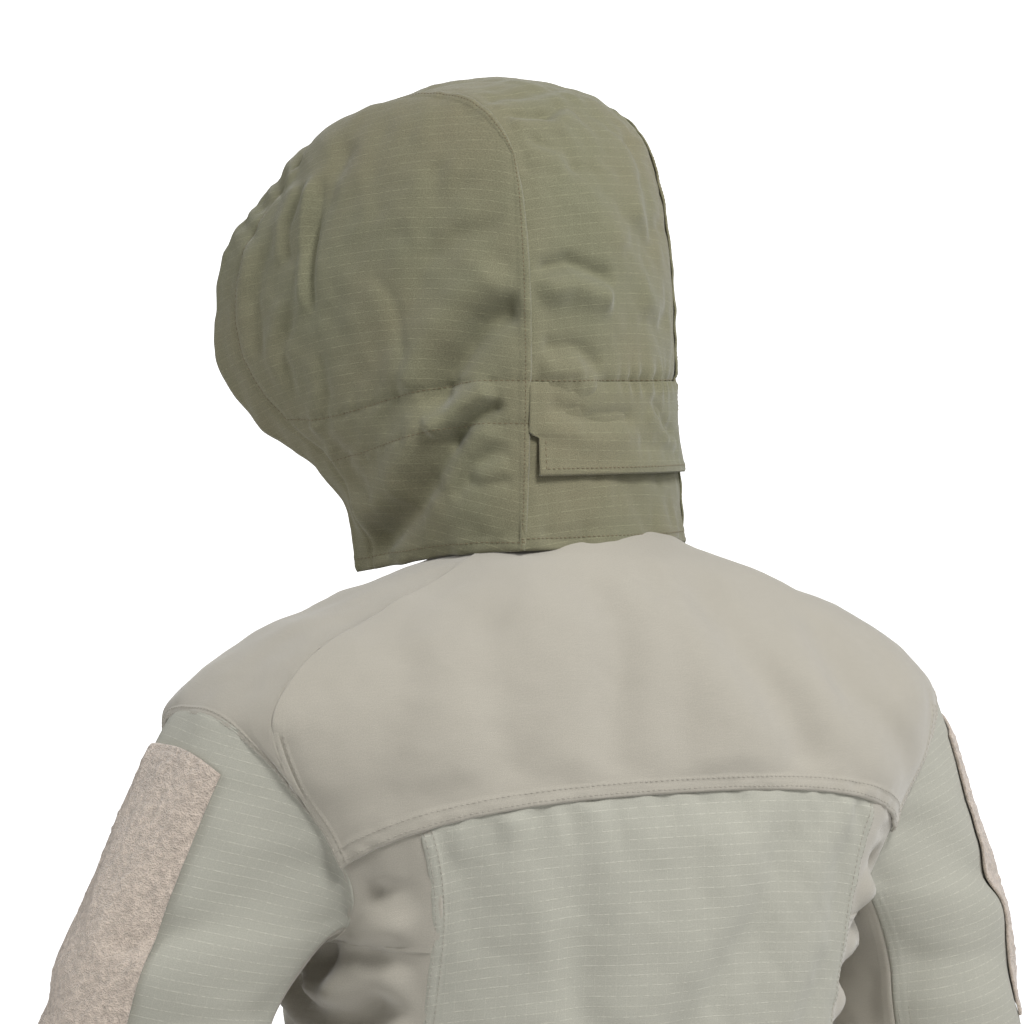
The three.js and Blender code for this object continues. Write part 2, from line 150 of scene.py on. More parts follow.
class Curve:
    """A centripetal Catmull-Rom curve through points, sampled closely."""

    def __init__(self, points, samples=60):
        p = np.array(points, float)
        p = np.vstack([2 * p[0] - p[1], p, 2 * p[-1] - p[-2]])
        rows = []
        for i in range(1, len(p) - 2):
            d = [max(np.linalg.norm(p[i + k] - p[i + k - 1]) ** 0.5, 1e-4) for k in (0, 1, 2)]
            t0 = (p[i] - p[i - 1]) / d[0] - (p[i + 1] - p[i - 1]) / (d[0] + d[1])
            t0 = (t0 + (p[i + 1] - p[i]) / d[1]) * d[1]
            t1 = (p[i + 1] - p[i]) / d[1] - (p[i + 2] - p[i]) / (d[1] + d[2])
            t1 = (t1 + (p[i + 2] - p[i + 1]) / d[2]) * d[1]
            w = np.linspace(0, 1, samples, endpoint=False)[:, None]
            a, b = p[i], p[i + 1]
            rows.append(a + t0 * w + (3 * b - 3 * a - 2 * t0 - t1) * w**2
                        + (2 * a - 2 * b + t0 + t1) * w**3)
        self.points = np.vstack(rows + [p[-2][None]])
        self.share = np.linspace(0, 1, len(self.points))
        steps = np.linalg.norm(np.diff(self.points, axis=0), axis=1)
        self.along = np.concatenate([[0], np.cumsum(steps)])
        self.length = self.along[-1]

    def at(self, t):
        return interpolate(t, self.share, self.points)

    def at_length(self, share):
        return interpolate(np.asarray(share) * self.length, self.along, self.points)

    def tangent(self, share, step=1e-3):
        after, before = (self.at_length(np.clip(share + d, 0, 1)) for d in (step, -step))
        return unit(after - before)


def noise(points, size, seed):
    """Smooth noise from about -1 to 1: a sum of waves in random directions, size mm long."""
    rng = np.random.default_rng(seed)
    total = np.zeros(points.shape[:-1])
    for _ in range(9):
        way = rng.normal(size=3)
        way /= np.linalg.norm(way)
        wave = 2 * math.pi / (size * rng.uniform(0.7, 1.6))
        bend = 0.9 * np.sin(points @ np.roll(way, 1) * wave * 0.6 + rng.uniform(0, 6))
        total += np.sin(points @ way * wave + bend + rng.uniform(0, 6))
    return total / 3.6


def to_line(x, y, line):
    """The signed distance from points to a polyline, and the share of the way along it."""
    line = np.array(line, float)
    steps = np.linalg.norm(np.diff(line, axis=0), axis=1)
    start = np.concatenate([[0], np.cumsum(steps)])
    best = np.full(x.shape, 1e9)
    side, share = np.ones(x.shape), np.zeros(x.shape)
    for i, (p, q) in enumerate(zip(line[:-1], line[1:])):
        d = q - p
        t = np.clip(((x - p[0]) * d[0] + (y - p[1]) * d[1]) / (d @ d), 0, 1)
        dx, dy = x - p[0] - t * d[0], y - p[1] - t * d[1]
        far = np.hypot(dx, dy)
        near = far < best
        best = np.where(near, far, best)
        side = np.where(near, np.sign(d[0] * dy - d[1] * dx), side)
        share = np.where(near, (start[i] + t * steps[i]) / start[-1], share)
    return best * side, share


def crease(x, y, line, depth, width, ridge=0.6, taper=0.17):
    """A valley along a line with a ridge on its left side, dying away at both ends."""
    far, share = to_line(x, y, line)
    ends = smooth(share, 0, taper) * smooth(1 - share, 0, taper)
    valley = -depth * bell(far, width)
    crest = ridge * depth * bell(far - 2.1 * width, 1.5 * width)
    return ends * (valley + crest)


def folds(x, y, table):
    """All the creases of a table: each has a line, a depth, a width and how high its ridge is."""
    return sum(crease(x, y, *fold) for fold in table)


# ---- the garment's surfaces, as in the CAD frame ----
seam_curve, face_curve, hem_curve = Curve(HOOD_SEAM), Curve(HOOD_FACE), Curve(HOOD_HEM)
sleeve_curve = Curve(SLEEVE_LINE)


def hood_place(p):
    c, s = math.cos(HOOD_TURN), math.sin(HOOD_TURN)
    forward, left, up = p[..., 0], p[..., 1], p[..., 2]
    return np.stack([left * c + forward * s, left * s - forward * c, up], axis=-1)


def side_local(a, b):
    ka, kb = a[..., None], b[..., None]
    top, back = seam_curve.at(a * SEAM_CORNER), seam_curve.at(SEAM_CORNER + (1 - SEAM_CORNER) * b)
    face, hem = face_curve.at(b), hem_curve.at(a)
    p = top * (1 - kb) + hem * kb + face * (1 - ka) + back * ka
    p -= face_curve.at(0.0) * ((1 - ka) * (1 - kb)) + seam_curve.at(SEAM_CORNER) * (ka * (1 - kb))
    p -= face_curve.at(1.0) * ((1 - ka) * kb) + seam_curve.at(1.0) * (ka * kb)
    p[..., 1] += HOOD_FULLNESS * (16 * a * (1 - a) * b * (1 - b)) ** 0.8
    return p


def centre_local(t, s, out=0.0):
    p = seam_curve.at(t)
    along = seam_curve.at(np.clip(t + 2e-3, 0, 1)) - seam_curve.at(np.clip(t - 2e-3, 0, 1))
    bulge = CROWN_BULGE + (NAPE_BULGE - CROWN_BULGE) * smooth(t, 0.3, 0.8)
    rise = bulge * (1 - s * s) + out
    size = np.hypot(along[..., 0], along[..., 2])
    forward = p[..., 0] + along[..., 2] / size * rise
    up = p[..., 2] - along[..., 0] / size * rise
    return np.stack([forward, s * p[..., 1], up], axis=-1)


def seam_at_height(height):
    t = np.linspace(SEAM_CORNER, 1, 400)
    return float(np.interp(-height, -seam_curve.at(t)[:, 2], t))


def cos_sin(angle):
    return np.cos(np.radians(angle)), np.sin(np.radians(angle))


def squared(x, power):
    """Turns a circle's cosines and sines into those of a squarer or rounder outline."""
    return np.sign(x) * np.abs(x) ** power


def torso(angle, depth):
    """A point on the torso: degrees from the middle of the back to the left, and depth."""
    c, s = cos_sin(angle)
    wide, deep, middle = (size(depth) for size in torso_size)
    x = wide * squared(s, TORSO_POWER)
    y = deep * squared(c, TORSO_POWER) + middle
    front = smooth(-c, NECK_DROP_START, NECK_DROP_END)
    drop = FRONT_NECK_DROP * np.exp(-((depth / NECK_DROP_FADE) ** 2)) * front
    return np.stack([x, y, -depth - drop], axis=-1)


def size_along(k):
    samples = Curve([[row[0], row[k + 1], 0] for row in TORSO]).points
    return lambda depth: np.interp(depth, samples[:, 0], samples[:, 1])


torso_size = [size_along(k) for k in range(3)]


def yoke_seam(angle):
    return YOKE_DEPTH + YOKE_DIP * (np.asarray(angle, float) / ARMHOLE_BACK) ** 2


def under_yoke(angle):
    return yoke_seam(angle) - SEAM_LAP


def princess_under(depth):
    return princess(depth) - SEAM_LAP / 3


def princess(depth):
    return PRINCESS_TOP + (PRINCESS_LOW - PRINCESS_TOP) * smooth(depth, YOKE_DEPTH, PRINCESS_DEPTH)


def armhole_share(offset):
    """The half height of the armhole's outline at an offset, both as shares of its half sizes."""
    return (1 - np.clip(np.abs(offset), 0, 1) ** ARMHOLE_SQUARENESS) ** (1 / ARMHOLE_SQUARENESS)


def armhole_above(angle):
    return ARMHOLE_DEPTH - ARMHOLE_HIGH * armhole_share((angle - ARMHOLE_ANGLE) / ARMHOLE_WIDE)


def armhole_behind(depth):
    low = np.maximum(depth, ARMHOLE_DEPTH)
    return ARMHOLE_ANGLE - ARMHOLE_WIDE * armhole_share((low - ARMHOLE_DEPTH) / ARMHOLE_HIGH)


def armhole_before(depth):
    return ARMHOLE_BACK + ARMHOLE_FRONT - armhole_behind(depth)


def armhole_loop(angle, grow=1.0):
    """The armhole's outline on the torso, at an angle round the sleeve."""
    c, s = (squared(part, 2 / ARMHOLE_SQUARENESS) for part in cos_sin(angle))
    return torso(ARMHOLE_ANGLE - s * ARMHOLE_WIDE * grow, ARMHOLE_DEPTH - c * ARMHOLE_HIGH * grow)


def sleeve(angle, along):
    """A point on the left sleeve: degrees from its outer side towards the back, and distance."""
    share = np.clip(along / SLEEVE_LENGTH, 0, 1)
    start = np.array(SLEEVE_LINE[0], float)
    scale = SLEEVE_LENGTH / sleeve_curve.length
    centre = (sleeve_curve.at_length(share) - start) * scale + start
    lean = (1 - smooth(along, 0, 150))[..., None]
    axis = unit(np.array([1.25, 0, -0.1]) * lean + sleeve_curve.tangent(share))
    outer = unit(-np.cross(np.array([0.0, 1.0, 0.0]), axis))
    deep = np.cross(outer, axis)
    radius = (SLEEVE_TOP_RADIUS + (SLEEVE_WRIST_RADIUS - SLEEVE_TOP_RADIUS) * share)[..., None]
    c, s = cos_sin(angle[..., None])
    tube = centre + outer * c * radius + deep * s * radius * SLEEVE_FLATNESS
    free = smooth(along, -10, SLEEVE_HEAD)[..., None]
    return armhole_loop(angle, 1.05) * (1 - free) + tube * free


# ---- materials ----
class Nodes:
    """Short names for making a material's nodes."""

    def __init__(self, name):
        self.material = bpy.data.materials.new(name)
        self.material.use_nodes = True
        self.tree = self.material.node_tree
        self.shader = self.tree.nodes["Principled BSDF"]

    def add(self, kind, inputs=(), **settings):
        node = self.tree.nodes.new("ShaderNode" + kind)
        for key, value in settings.items():
            setattr(node, key, value)
        for key, value in dict(inputs).items():
            if isinstance(value, bpy.types.NodeSocket):
                self.tree.links.new(value, node.inputs[key])
            else:
                node.inputs[key].default_value = value
        return node

    def math(self, operation, a, b=0.0):
        return self.add("Math", {0: a, 1: b}, operation=operation).outputs[0]

    def times(self, a, b):
        return self.math("MULTIPLY", a, b)

    def plus(self, a, b):
        return self.math("ADD", a, b)

    def place(self):
        return self.add("TexCoord").outputs["Object"]

    def noise(self, vector, scale, detail=3.0):
        node = self.add("TexNoise", {"Vector": vector, "Scale": scale, "Detail": detail})
        return node.outputs["Fac"]

    def mix(self, share, a, b):
        node = self.add("Mix", {0: share, 6: a, 7: b}, data_type="RGBA")
        return node.outputs[2]

    def ramp(self, value, low, high, out_low=0.0, out_high=1.0):
        node = self.add("MapRange", {0: value, 1: low, 2: high, 3: out_low, 4: out_high})
        return node.outputs[0]

    def set(self, **values):
        for key, value in values.items():
            self.shader.inputs[key.replace("_", " ")].default_value = value

    def bump(self, height, strength, distance, normal=None):
        inputs = {"Height": height, "Strength": strength, "Distance": distance}
        if normal is not None:
            inputs["Normal"] = normal
        return self.add("Bump", inputs).outputs[0]

    def link(self, value, socket):
        self.tree.links.new(value, self.shader.inputs[socket])


def tint(color, factor):
    return (*[min(1, c * factor) for c in color], 1)


def cloth_material(
        name, color, patch, grid=0.0, weave=0.00055, twill=False, sheen=0.25, grain=0.35):
    """Woven cloth from the metric UV map: threads, ripstop grid, slubs and uneven dye."""
    n = Nodes(name)
    uv = n.add("UVMap", uv_map="cloth").outputs[0]
    xyz = n.add("SeparateXYZ", {0: uv}).outputs
    u, v = xyz[0], xyz[1]
    if twill:
        u = n.plus(u, v)
    warp = n.math("SINE", n.times(u, 2 * math.pi / weave))
    weft = n.math("SINE", n.times(v, 2 * math.pi / weave))
    threads = n.times(warp, 1.0) if twill else n.times(warp, weft)
    fine = n.noise(uv, 1500.0, 4.0)
    slub = n.noise(n.add("Mapping", {0: uv, 3: (90.0, 1400.0, 1.0)}).outputs[0], 1.0, 2.0)
    broad = n.noise(n.place(), 9.0, 4.0)
    mottle = n.noise(n.place(), 55.0, 5.0)
    shade = n.mix(n.ramp(broad, 0.35, 0.68), tint(color, 0.97), tint(patch, 1.02))
    shade = n.mix(n.ramp(mottle, 0.3, 0.75, 0.0, 0.3), shade, tint(color, 1.08))
    shade = n.mix(n.ramp(fine, 0.38, 0.62, 0.0, grain), shade, tint(color, 0.6))
    shade = n.mix(n.ramp(slub, 0.5, 0.8, 0.0, 0.22), shade, tint(color, 1.2))
    height = n.plus(n.times(threads, 0.22), n.times(fine, 0.8))
    height = n.plus(height, n.times(slub, 0.5))
    if grid:
        lines = 0.0
        for way, width, strength in ((v, 0.075, 1.0), (u, 0.06, 0.35)):
            place = n.math("FRACT", n.math("DIVIDE", way, grid))
            off = n.math("ABSOLUTE", n.math("SUBTRACT", place, 0.5))
            line = n.ramp(off, width, width * 0.4, 0.0, strength)
            lines = n.math("MAXIMUM", lines, line)
        broken = n.ramp(n.noise(uv, 420.0, 3.0), 0.42, 0.6, 0.1, 0.8)
        lines = n.times(lines, broken)
        shade = n.mix(n.times(lines, 0.5), shade, tint(color, 1.5))
        height = n.plus(height, n.times(lines, 1.3))
    n.link(shade, "Base Color")
    n.link(n.bump(height, 0.55, 0.00022), "Normal")
    n.link(n.ramp(mottle, 0.2, 0.8, 0.78, 0.93), "Roughness")
    n.set(Sheen_Weight=sheen, Sheen_Roughness=0.5, Specular_IOR_Level=0.25)
    return n.material


def pile_material(name, color):
    """Plush loop pile: clumps of fine curls."""
    n = Nodes(name)
    place = n.place()
    curls = n.add("TexVoronoi", {"Vector": place, "Scale": 900.0}).outputs["Distance"]
    clumps = n.noise(place, 260.0, 6.0)
    broad = n.noise(place, 22.0, 3.0)
    shade = n.mix(n.ramp(clumps, 0.3, 0.7), tint(color, 0.72), tint(color, 1.22))
    shade = n.mix(n.ramp(broad, 0.3, 0.7, 0.0, 0.3), shade, tint(color, 1.15))
    shade = n.mix(n.ramp(curls, 0.0, 0.5, 0.35, 0.0), shade, tint(color, 0.6))
    n.link(shade, "Base Color")
    height = n.plus(n.times(clumps, 2.0), curls)
    n.link(n.bump(height, 0.9, 0.0009), "Normal")
    n.set(Roughness=0.95, Sheen_Weight=0.5, Sheen_Roughness=0.6, Specular_IOR_Level=0.15)
    return n.material


def thread_material(name, color):
    """Sewing thread: a fine twist."""
    n = Nodes(name)
    place = n.place()
    twist = n.noise(place, 1800.0, 2.0)
    n.link(n.mix(n.ramp(twist, 0.3, 0.7), tint(color, 0.8), tint(color, 1.2)), "Base Color")
    n.set(Roughness=0.7, Sheen_Weight=0.2)
    return n.material


def metal_material(name, color, metallic=0.75):
    """Coated zip metal with rubbed spots."""
    n = Nodes(name)
    place = n.place()
    rub = n.ramp(n.noise(place, 420.0, 5.0), 0.5, 0.72)
    n.link(n.mix(rub, tint(color, 1.0), tint(color, 2.6)), "Base Color")
    n.link(n.ramp(rub, 0.0, 1.0, 0.38, 0.24), "Roughness")
    n.link(n.bump(n.noise(place, 900.0, 3.0), 0.25, 0.0001), "Normal")
    n.set(Metallic=metallic)
    return n.material


def slot_color(name):
    return next(m["base_color"][:3] for m in frame["record"]["materials"] if m["slot"] == name)


def warmer(color, red, blue):
    return (color[0] * red, color[1], color[2] * blue)


OLIVE = tuple(1.1 * c for c in warmer(slot_color("hood_ripstop"), 1.07, 1.06))
SAGE = warmer(slot_color("jacket_ripstop"), 1.05, 1.0)
SAND, TAN = slot_color("jacket_twill"), tuple(1.15 * c for c in slot_color("loop_pile"))
BROWN_OLIVE = warmer(OLIVE, 1.12, 0.98)
WEBBING = (0.09, 0.09, 0.07)
MATERIALS = {
    "hood_ripstop": cloth_material("hood_ripstop", OLIVE, BROWN_OLIVE, grid=0.0062, grain=0.75),
    "jacket_ripstop": cloth_material("jacket_ripstop", SAGE, SAGE, grid=0.0062, sheen=0.15),
    "jacket_twill": cloth_material("jacket_twill", SAND, SAND, weave=0.0007, twill=True, sheen=0.4),
    "loop_pile": pile_material("loop_pile", TAN),
    "elastic_webbing": cloth_material("elastic_webbing", WEBBING, WEBBING, weave=0.0016),
    "zip_metal": metal_material("zip_metal", slot_color("zip_metal")),
    "button_plastic": metal_material("button_plastic", slot_color("button_plastic"), 0.0),
    "hood_thread": thread_material("hood_thread", (OLIVE[0] * 0.75, OLIVE[1] * 0.6, OLIVE[2] * 0.5)),
    "jacket_thread": thread_material("jacket_thread", tuple(0.86 * c for c in SAND)),
}


def spacing(length, step=None, edge=13.0, fine=1.3):
    """Shares of a length, close together near both ends where the hems and seams are."""
    step = step or FINE
    if length < 2.4 * edge:
        return np.linspace(0, 1, max(3, math.ceil(length / fine) + 1))
    count = math.ceil(edge / fine)
    ends = np.linspace(0, edge, count, endpoint=False)
    inner = np.linspace(edge, length - edge, math.ceil((length - 2 * edge) / step) + 1)
    return np.concatenate([ends, inner, length - ends[::-1]]) / length


class Panel:
    """A sewn panel of cloth on a grid, with the place and outward normal of each point."""

    def __init__(self, surface, side, lift=0.0, shape=None, step=None):
        guess = np.linspace(0, 1, 30)
        across = surface(guess, np.full(30, 0.5))
        down = surface(np.full(30, 0.5), guess)
        self.width = np.linalg.norm(np.diff(across, axis=0), axis=1).sum()
        self.height = np.linalg.norm(np.diff(down, axis=0), axis=1).sum()
        self.u, self.v = spacing(self.width, step), spacing(self.height, step)
        u, v = np.meshgrid(self.u, self.v, indexing="ij")
        base = surface(u, v)
        self.side = side
        normal = self.normals(base)
        self.area = self.surface_area(base)
        self.cloth = self.metric(base)
        edges = (u * self.width, (1 - u) * self.width, v * self.height, (1 - v) * self.height)
        push = lift + (shape(base, u, v, edges) if shape else 0.0)
        if np.ndim(push) == 3:
            self.points = base + push
        else:
            self.points = base + normal * np.asarray(push)[..., None]
        self.normal = self.normals(self.points)

    def normals(self, p):
        return unit(np.cross(np.gradient(p, axis=0), np.gradient(p, axis=1)) * self.side)

    @staticmethod
    def surface_area(p):
        a, b = p[1:, :-1] - p[:-1, :-1], p[:-1, 1:] - p[:-1, :-1]
        return float(np.linalg.norm(np.cross(a, b), axis=-1).sum())

    @staticmethod
    def metric(p):
        """Flat coordinates in metres: distances across and down the panel from its middle."""
        across = np.linalg.norm(np.diff(p, axis=0), axis=-1)
        down = np.linalg.norm(np.diff(p, axis=1), axis=-1)
        x = np.vstack([np.zeros((1, p.shape[1])), np.cumsum(across, axis=0)])
        y = np.hstack([np.zeros((p.shape[0], 1)), np.cumsum(down, axis=1)])
        x -= x[p.shape[0] // 2][None, :]
        y -= y[:, p.shape[1] // 2][:, None]
        return np.stack([x, y], axis=-1) * MM

    def across(self, distance):
        return distance / self.width

    def down(self, distance):
        return distance / self.height

    def at(self, u, v, lift=0.0):
        """Points on the finished panel at shares u and v, moved out by lift."""
        i = np.interp(u, self.u, np.arange(len(self.u)))
        j = np.interp(v, self.v, np.arange(len(self.v)))
        i0 = np.clip(i.astype(int), 0, len(self.u) - 2)
        j0 = np.clip(j.astype(int), 0, len(self.v) - 2)
        a, b = (i - i0)[:, None], (j - j0)[:, None]

        def blend(g):
            top = g[i0, j0] * (1 - a) + g[i0 + 1, j0] * a
            low = g[i0, j0 + 1] * (1 - a) + g[i0 + 1, j0 + 1] * a
            return top * (1 - b) + low * b

        n = unit(blend(self.normal))
        return blend(self.points) + n * lift, n


def new_object(name, data):
    obj = bpy.data.objects.new(name, data)
    bpy.context.scene.collection.objects.link(obj)
    return obj


def mesh_object(name, points, faces, cloth=None):
    mesh = bpy.data.meshes.new(name)
    mesh.from_pydata((np.asarray(points) * MM).tolist(), [], [list(map(int, f)) for f in faces])
    if cloth is not None:
        layer = mesh.uv_layers.new(name="cloth")
        loops = np.zeros(len(mesh.loops), int)
        mesh.loops.foreach_get("vertex_index", loops)
        layer.data.foreach_set("uv", np.asarray(cloth)[loops].ravel())
    mesh.polygons.foreach_set("use_smooth", [True] * len(mesh.polygons))
    mesh.update()
    return new_object(name, mesh)


def panel_object(name, panel, slot, node=None, body=None, thick=CLOTH):
    """The panel as a mesh with a thickness, standing for its CAD node."""
    nu, nv = len(panel.u), len(panel.v)
    index = np.arange(nu * nv).reshape(nu, nv)
    quads = np.stack([index[:-1, :-1], index[1:, :-1], index[1:, 1:], index[:-1, 1:]], axis=-1)
    quads = quads.reshape(-1, 4)
    if panel.side < 0:
        quads = quads[:, ::-1]
    obj = mesh_object(name, panel.points.reshape(-1, 3), quads, panel.cloth.reshape(-1, 2))
    solid = obj.modifiers.new("thickness", "SOLIDIFY")
    solid.thickness = thick * MM
    solid.offset = 0
    dress(obj, slot)
    if node:
        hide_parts(node)
    if body:
        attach(obj, body)
    return obj


def bend_with_sleeve(obj):
    """Bake the piece's transform into its mesh; it is not bent, nor attached to the sleeve's body."""
    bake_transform(obj)


def dress(obj, slot, look=None):
    obj.data.materials.clear()
    obj.data.materials.append(MATERIALS[look or slot])


# ---- stitches ----
STITCH_RINGS = (  # place along a stitch, size and how far it dips into the cloth
    (-0.5, 0.35, 0.45), (-0.3, 0.95, 0.1), (0.3, 0.95, 0.1), (0.5, 0.35, 0.45))
STITCH_SIDES = 5
WHOLE = (0, 1)  # a row of stitches over the whole of a panel


class Stitching:
    """All the stitches of one body, gathered into one mesh; only those off the sleeves are attached to
    their body.
    """

    def __init__(self):
        self.points, self.faces = [], []

    def row(self, panel, line_u, line_v, pitch=3.4, long=2.5, thick=0.34, lift=0.62):
        """Stitches along a line on a panel: line_u and line_v are shares, or arrays of them."""
        t = np.linspace(0, 1, 900)
        u = np.interp(t, np.linspace(0, 1, np.size(line_u)), np.atleast_1d(line_u))
        v = np.interp(t, np.linspace(0, 1, np.size(line_v)), np.atleast_1d(line_v))
        p, n = panel.at(u, v, lift)
        self.follow(p, n, pitch, long, thick)

    def follow(self, p, n, pitch, long, thick):
        along = np.concatenate([[0], np.cumsum(np.linalg.norm(np.diff(p, axis=0), axis=1))])
        count = int(along[-1] // pitch)
        if count < 1:
            return
        where = (np.arange(count) + 0.5) * along[-1] / count
        out = interpolate(where, along, n)
        rings = []
        for share, size, dip in STITCH_RINGS:
            middle = interpolate(where + share * long, along, p) - out * dip * thick * 1.6
            rings.append((middle, size))
        ahead, behind = (interpolate(where + d * long, along, p) for d in (0.3, -0.3))
        across = np.cross(unit(ahead - behind), out)
        sides = STITCH_SIDES
        for k in range(count):
            first = len(self.points)
            for middle, size in rings:
                for i in range(sides):
                    turn = 2 * math.pi * i / sides
                    push = across[k] * math.cos(turn) + out[k] * math.sin(turn)
                    self.points.append(middle[k] + push * thick * size)
            for r in range(3):
                for i in range(sides):
                    a, b = first + r * sides + i, first + r * sides + (i + 1) % sides
                    self.faces.append((a, b, b + sides, a + sides))
            self.faces.append(tuple(first + i for i in reversed(range(sides))))
            self.faces.append(tuple(first + 3 * sides + i for i in range(sides)))

    def finish(self, name, body, slot, look):
        obj = mesh_object(name, np.array(self.points), self.faces)
        dress(obj, slot, look)
        if body.startswith("sleeve"):
            bend_with_sleeve(obj)
        else:
            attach(obj, body)


STITCHED_BODIES = ("hood", "rear_flap", "jacket", "sleeve_left", "sleeve_right")
stitching = {body: Stitching() for body in STITCHED_BODIES}


def hem(far, wide=9.0, rise=0.9):
    """The profile of a turned hem or lapped seam: thicker up to its stitches, then a step."""
    rolled = 0.9 * bell(far, 1.0)
    return rise * (1 - smooth(far, wide, wide + 2.5)) - 0.4 * bell(far - wide + 1.2, 1.1) - rolled


def pucker(points, far, reach=10.0, size=9.0, height=0.7, seed=5):
    """Small puckers square to a stitched edge."""
    return height * noise(points, size, seed) * bell(far, reach)


# ---- the hood ----
CASING = 27  # depth of the casing round the face, to its stitches
CHANNEL = 26  # depth of the adjuster's channel
BACK_HALF_WIDTH, FLAP_HALF_WIDTH = 72, 68
HEM_STITCHES = 5.5  # from the hood's hem
SIDE_FOLDS = (  # lines in forward and up
    ([[-44, 152], [-18, 133], [2, 106], [14, 78]], 11, 10, 0.7),
    ([[-30, 88], [-12, 76], [6, 58]], 7, 5, 1.2),
    ([[-8, 76], [12, 46], [34, 20], [66, 2], [84, -10]], 10, 9.5, 0.8),
    ([[-34, 62], [-14, 48], [2, 26]], 3, 6, 0.8),
    ([[-36, 40], [-18, 36], [-6, 40]], 2, 4, 0.9),
    ([[104, 228], [107, 190], [104, 138]], 3.6, 3.4, 1),
    ([[122, 222], [130, 196], [128, 170]], 2.6, 4, 0.9),
    ([[86, 252], [98, 210], [116, 170]], 2.8, 7, 0.7),
    ([[150, 190], [160, 150], [154, 110]], 2.6, 6, 0.8),
    ([[120, 150], [134, 120], [126, 86]], 2.2, 5, 0.9),
    ([[60, 170], [40, 150], [30, 116], [40, 84]], 1.3, 4.5, 0.9),
    ([[100, 120], [96, 92], [104, 60]], 1.8, 5, 0.8),
    ([[98, 66], [82, 40], [58, 26]], 2.4, 7, 0.7),
    ([[20, 236], [14, 205], [22, 180]], 1.8, 8, 0.7),
    ([[-28, 196], [0, 186], [24, 170]], 1.8, 7, 0.7),
)


def side_folds(local):
    """The folds of a side panel, from its forward and up places."""
    return folds(local[..., 0], local[..., 2], SIDE_FOLDS)


def hood_side_shape(seed):
    def shape(base, u, v, edges):
        local = side_local(u, v)
        forward, up = local[..., 0], local[..., 2]
        face, back, top, bottom = edges
        seam = np.minimum(back, top)
        inner = smooth(seam, 0, 16)
        push = side_folds(local) * smooth(seam, 2, 12)
        push += 1.5 * noise(local * [1, 1, 0.6], 90, seed) * inner
        push += 0.9 * noise(local, 34, seed + 1) * inner
        push += 0.4 * noise(local, 14, seed + 2) * inner
        # The face casing is drawn in by its elastic, which puckers it most at the top front.
        drawn = 0.25 + 1.9 * bell(up - 222, 34)
        casing = 1 - smooth(face, 22, 44)
        push += drawn * noise(local * [1.3, 1, 1.3], 17, seed + 3) * casing * smooth(top, 0, 8)
        push -= 1.2 * bell(face - CASING, 2.6) * smooth(top, 0, 10)
        # The adjuster's channel runs round from the back seam to the face casing.
        for drop, deep in ((0, 1.1), (CHANNEL, 0.5)):
            far = up - channel_z(forward) + drop
            push -= deep * bell(far, 2.0) * smooth(face, 26, 34)
            push += 0.45 * noise(local, 9, seed + 4) * bell(far, 8) * smooth(face, 26, 34)
        push += hem(seam, 5, 1.0) + pucker(local, seam, 10, 12, 0.6)
        push += hem(bottom, 6, 0.8) + pucker(local, bottom, 8, 11, 0.5)
        return push + hem(face, 3, 0.5)
    return shape


def facing_shape(reach):
    def shape(base, u, v, edges):
        return side_folds(side_local(u * reach, v)) - 0.8 * smooth(edges[0], 0, 6)
    return shape


def channel_z(forward):
    """The height of the adjuster channel's upper stitches along a side panel."""
    return ADJUSTER_Z - 25 * smooth(forward, -30, 124)


CENTRE_FOLDS = (  # lines in x and height above the channel's stitches on the back panel
    ([[70, 52], [44, 56], [10, 46]], 6, 5, 1.2),
    ([[66, 16], [40, 14], [22, 4]], 4, 5, 1),
    ([[-62, 84], [-30, 66], [-6, 76]], 2.6, 8, 0.7),
    ([[24, 120], [6, 96], [-16, 72]], 2.2, 7, 0.8),
    ([[-34, 150], [-40, 110], [-34, 70]], 2.4, 8, 0.8),
    ([[-58, 34], [-36, 24], [-8, 30]], 2.4, 6, 0.8),
    ([[62, 168], [34, 158], [12, 170]], 3.2, 5, 1),
    ([[60, 140], [34, 128], [24, 104]], 2.6, 6, 0.9),
    ([[68, 196], [30, 186], [-10, 196]], 2, 7, 0.8),
    ([[-60, -76], [-40, -82], [-16, -74]], 3, 5, 0.9),
    ([[64, -66], [52, -72], [30, -70]], 2.4, 5, 0.8),
)


FLAP_FOLDS = (  # lines in x and height below the channel's stitches
    ([[62, -14], [30, -24], [-8, -22]], 3.2, 6, 0.9),
    ([[-20, -10], [-42, -30], [-58, -34]], 2.4, 4, 0.9),
    ([[10, -38], [-30, -44], [-60, -46]], 1.4, 5, 0.8),
)


def upright(x, y):
    return np.stack([x, np.zeros_like(x), y], axis=-1)


def gathers(x, y):
    """Crisp tucks where the elastic draws the cloth in, along the channel's stitches."""
    wave = np.sin(x / 1.9 + 1.3 * np.sin(x / 7.0))
    lean = bell(x + 22, 26) + 0.25
    return lean * (2.1 * wave * bell(y + 2, 8) + 1.2 * bell(y - 5, 5))


def centre_shape(base, u, v, edges):
    left, right, brow, nape = edges
    near = np.minimum(left, right)
    inner = smooth(near, 2, 16)
    x = (2 * u - 1) * BACK_HALF_WIDTH
    y = (seam_at_height(ADJUSTER_Z) - v) * seam_curve.length
    local = upright(x, y)
    push = 1.3 * noise(local * [1, 1, 0.7], 80, 31) + 0.8 * noise(local, 30, 32)
    push += 0.35 * noise(local, 13, 33)
    push += folds(x, y, CENTRE_FOLDS)
    push = push * inner + gathers(x, y) * smooth(near, 4, 14)
    push -= 1.2 * bell(y, 1.8)
    push += hem(nape, 6, 0.8) + pucker(local, nape, 8, 11, 0.5) + hem(brow, 3, 0.5)
    push += 0.8 * noise(local, 16, 37) * (1 - smooth(brow, 20, 36))
    return push + pucker(local, near, 9, 12, 0.5, 6)


